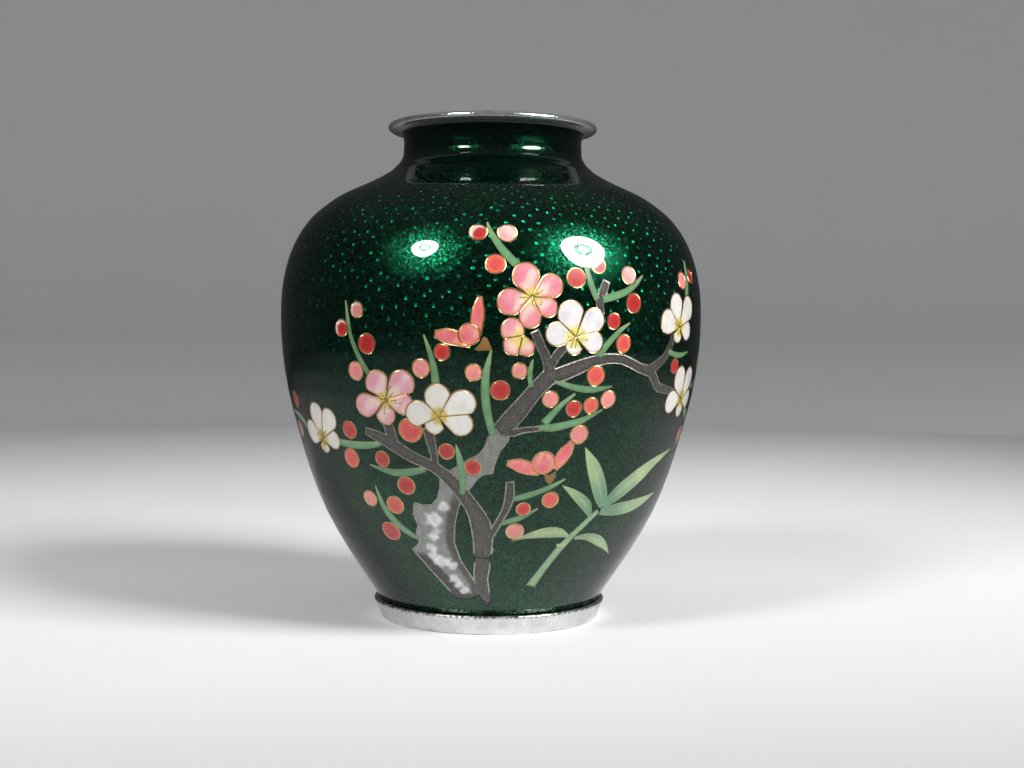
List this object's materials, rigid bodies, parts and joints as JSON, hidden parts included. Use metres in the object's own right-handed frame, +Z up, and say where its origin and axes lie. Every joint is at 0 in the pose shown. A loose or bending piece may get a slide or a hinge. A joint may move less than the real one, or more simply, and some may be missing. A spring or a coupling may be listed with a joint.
{
  "type": "cloisonne vase",
  "caption": "Shouldered enamel vase on a copper body, with wired blossom and bamboo cells, a metal rim ring and a metal foot ring.",
  "frame": {"origin": "centre of the foot ring's underside, where the vase stands", "axes": "+Z up along the vase's axis, with the middle of the picture facing -Y"},
  "size_m": [0.158, 0.158, 0.185],
  "materials": {
    "bamboo_leaf_enamel": "pale green enamel, polished",
    "bamboo_stem_enamel": "pale green enamel, polished",
    "base_enamel": "plain dark green enamel, glossy",
    "branch_enamel": "dark warm grey enamel, polished",
    "branch_wire": "silver wire, polished flush",
    "copper": "bare spun copper, dull",
    "coral_bud_enamel": "coral enamel, polished",
    "foil": "embossed silver foil, seen through the enamel",
    "gilt_wire": "polished flush with the enamel",
    "ground_enamel": "deep green translucent enamel over dimpled foil, polished",
    "inner_enamel": "plain dark green enamel, glossy",
    "pink_bud_enamel": "pink enamel, polished",
    "pink_petal": "pink enamel fading to pale, polished",
    "red_bud_enamel": "red enamel, polished",
    "sepal_enamel": "ochre enamel, polished",
    "shoot_enamel": "green enamel, polished",
    "silver_ring": "polished silver-plated ring, pitted and worn",
    "trunk_enamel": "light grey enamel with white lichen, polished",
    "white_petal": "white enamel with a yellow heart, polished"
  },
  "bodies": {
    "root": {"copper_upper_body": "copper", "copper_lower_body": "copper", "copper_base": "copper", "silver_foil": "foil", "ground_enamel": "ground_enamel", "inner_enamel": "inner_enamel", "base_enamel": "base_enamel", "rim_ring": "silver_ring", "foot_ring": "silver_ring", "trunk_enamel": "trunk_enamel", "trunk_wire": "branch_wire", "branch_enamel": "branch_enamel", "branch_wire": "branch_wire", "shoot_enamel": "shoot_enamel", "bamboo_stem_enamel": "bamboo_stem_enamel", "bamboo_leaf_enamel": "bamboo_leaf_enamel", "sepal_enamel": "sepal_enamel", "red_bud_enamel": "red_bud_enamel", "coral_bud_enamel": "coral_bud_enamel", "pink_bud_enamel": "pink_bud_enamel", "bud_wire": "gilt_wire", "blossom_1_petals": "pink_petal", "blossom_2_petals": "pink_petal", "blossom_3_petals": "white_petal", "blossom_4_petals": "white_petal", "blossom_5_petals": "white_petal", "blossom_6_petals": "pink_petal", "blossom_7_petals": "white_petal", "blossom_8_petals": "white_petal", "blossom_1_wire": "gilt_wire", "blossom_2_wire": "gilt_wire", "blossom_3_wire": "gilt_wire", "blossom_4_wire": "gilt_wire", "blossom_5_wire": "gilt_wire", "blossom_6_wire": "gilt_wire", "blossom_7_wire": "gilt_wire", "blossom_8_wire": "gilt_wire", "side_blossom_1_petals": "pink_petal", "side_blossom_2_petals": "pink_petal", "side_blossom_1_wire": "gilt_wire", "side_blossom_2_wire": "gilt_wire"}
  },
  "joints": []
}
